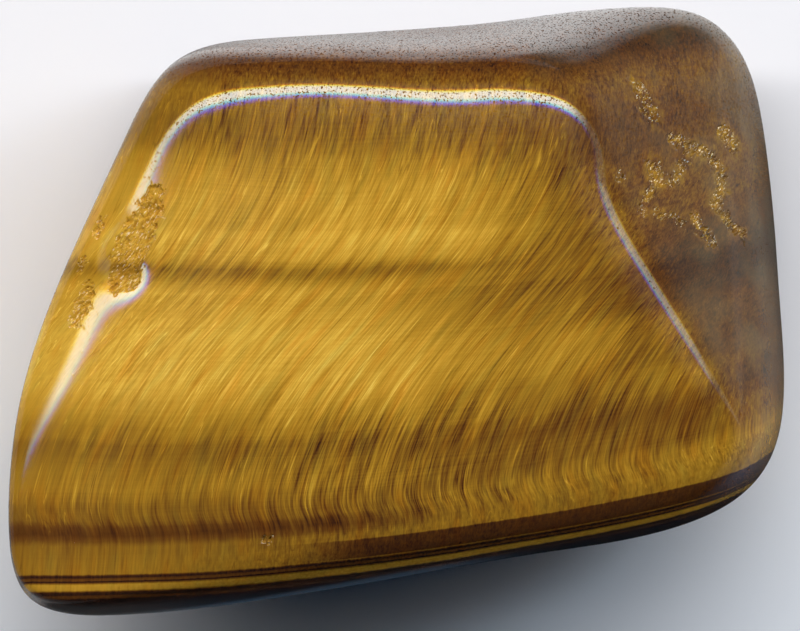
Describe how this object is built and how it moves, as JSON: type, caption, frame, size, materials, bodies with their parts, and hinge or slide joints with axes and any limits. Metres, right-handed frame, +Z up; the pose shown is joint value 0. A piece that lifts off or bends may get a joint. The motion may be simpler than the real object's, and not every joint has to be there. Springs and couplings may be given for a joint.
{
  "type": "tumbled tigers eye stone",
  "caption": "Small polished golden-brown stone with silky bands: a rounded block with a broad top face and a sloping right side, for display, handling or set dressing.",
  "frame": {"origin": "centre of the bounding box's footprint, on the resting face", "axes": "+X along the stone's length, from the narrow left edge to the sloping right face; +Y towards the straight crest side; +Z up out of the broad top face"},
  "size_m": [0.0328, 0.0258, 0.0139],
  "materials": {
    "stone": "polished, with silky golden and brown fibre bands and a few unpolished chips"
  },
  "bodies": {
    "root": {"stone": "stone"}
  },
  "joints": []
}
